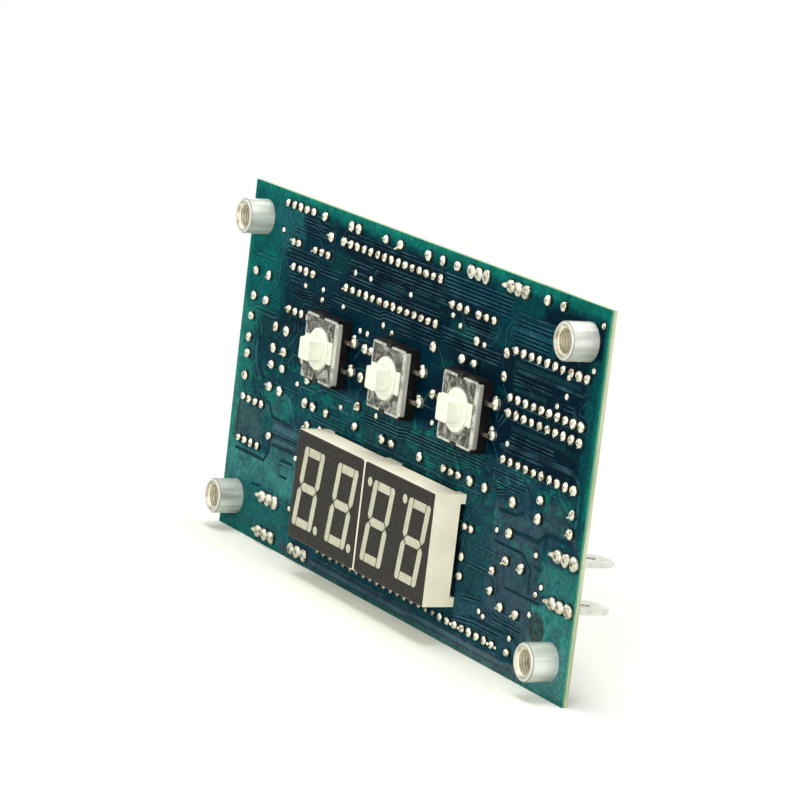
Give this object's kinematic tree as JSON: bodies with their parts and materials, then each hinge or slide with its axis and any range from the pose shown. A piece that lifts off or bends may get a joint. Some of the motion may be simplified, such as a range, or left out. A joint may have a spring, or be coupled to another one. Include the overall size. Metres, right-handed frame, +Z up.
{
  "type": "temperature display",
  "caption": "Temperature readout board with slanted seven-segment digits, square push buttons, corner standoffs and rear connection tabs on an upright circuit board.",
  "frame": {"origin": "middle of the circuit board's front face, which is also the middle of the four standoffs", "axes": "+X to the viewer's right along the board, +Z up the board, +Y away from the viewer through the board's thickness"},
  "size_m": [0.127, 0.0141, 0.0636],
  "materials": {
    "mask_teal": "gloss",
    "standoff_metal": "satin",
    "housing_cream": "satin",
    "face_dark": "matt",
    "segment_pale": "satin",
    "resin": "gloss",
    "lead_tin": "satin",
    "base_black": "satin",
    "cover_metal": "polished",
    "plunger_ivory": "satin",
    "dome_metal": "polished",
    "package_black": "matt",
    "resistor_tan": "satin",
    "disc_yellow": "gloss",
    "can_sleeve": "gloss",
    "diode_grey": "matt",
    "header_black": "matt",
    "header_gold": "polished",
    "network_brown": "gloss",
    "tab_tin": "polished",
    "solder": "polished"
  },
  "bodies": {
    "display_board": {"circuit_board": "mask_teal", "standoffs": "standoff_metal", "left_digit_housing": "housing_cream", "left_digit_mask": "face_dark", "left_digit_segments": "segment_pale", "left_digit_potting": "resin", "left_digit_pins": "lead_tin", "right_digit_housing": "housing_cream", "right_digit_mask": "face_dark", "right_digit_segments": "segment_pale", "right_digit_potting": "resin", "right_digit_pins": "lead_tin", "button_1_base": "base_black", "button_1_cover": "cover_metal", "button_1_dome": "dome_metal", "button_2_base": "base_black", "button_2_cover": "cover_metal", "button_2_dome": "dome_metal", "button_3_base": "base_black", "button_3_cover": "cover_metal", "button_3_dome": "dome_metal", "button_terminals": "lead_tin", "controller_package": "package_black", "controller_leads": "lead_tin", "driver_packages": "package_black", "driver_leads": "lead_tin", "memory_package": "package_black", "memory_leads": "lead_tin", "amplifier_package": "package_black", "amplifier_leads": "lead_tin", "resistor_bodies": "resistor_tan", "resistor_leads": "lead_tin", "disc_capacitors": "disc_yellow", "disc_capacitor_leads": "lead_tin", "can_capacitors": "can_sleeve", "can_capacitor_leads": "lead_tin", "transistors": "package_black", "transistor_leads": "lead_tin", "diodes": "diode_grey", "diode_leads": "lead_tin", "header_base": "header_black", "header_pins": "header_gold", "network_bodies": "network_brown", "network_leads": "lead_tin", "connection_tabs": "tab_tin", "test_pins": "lead_tin", "circuit_joints": "solder", "part_joints": "solder", "network_joints": "solder", "button_joints": "solder", "tab_joints": "solder", "digit_joints": "solder"},
    "plunger_1": {"button_1_plunger": "plunger_ivory"},
    "plunger_2": {"button_2_plunger": "plunger_ivory"},
    "plunger_3": {"button_3_plunger": "plunger_ivory"}
  },
  "joints": [
    {"name": "push_1", "type": "slide", "parent": "display_board", "child": "plunger_1", "axis": [0, 1, 0], "range_m": [0, 0.00025], "stiffness_N_per_m": 4000},
    {"name": "push_2", "type": "slide", "parent": "display_board", "child": "plunger_2", "axis": [0, 1, 0], "range_m": [0, 0.00025], "stiffness_N_per_m": 4000},
    {"name": "push_3", "type": "slide", "parent": "display_board", "child": "plunger_3", "axis": [0, 1, 0], "range_m": [0, 0.00025], "stiffness_N_per_m": 4000}
  ]
}
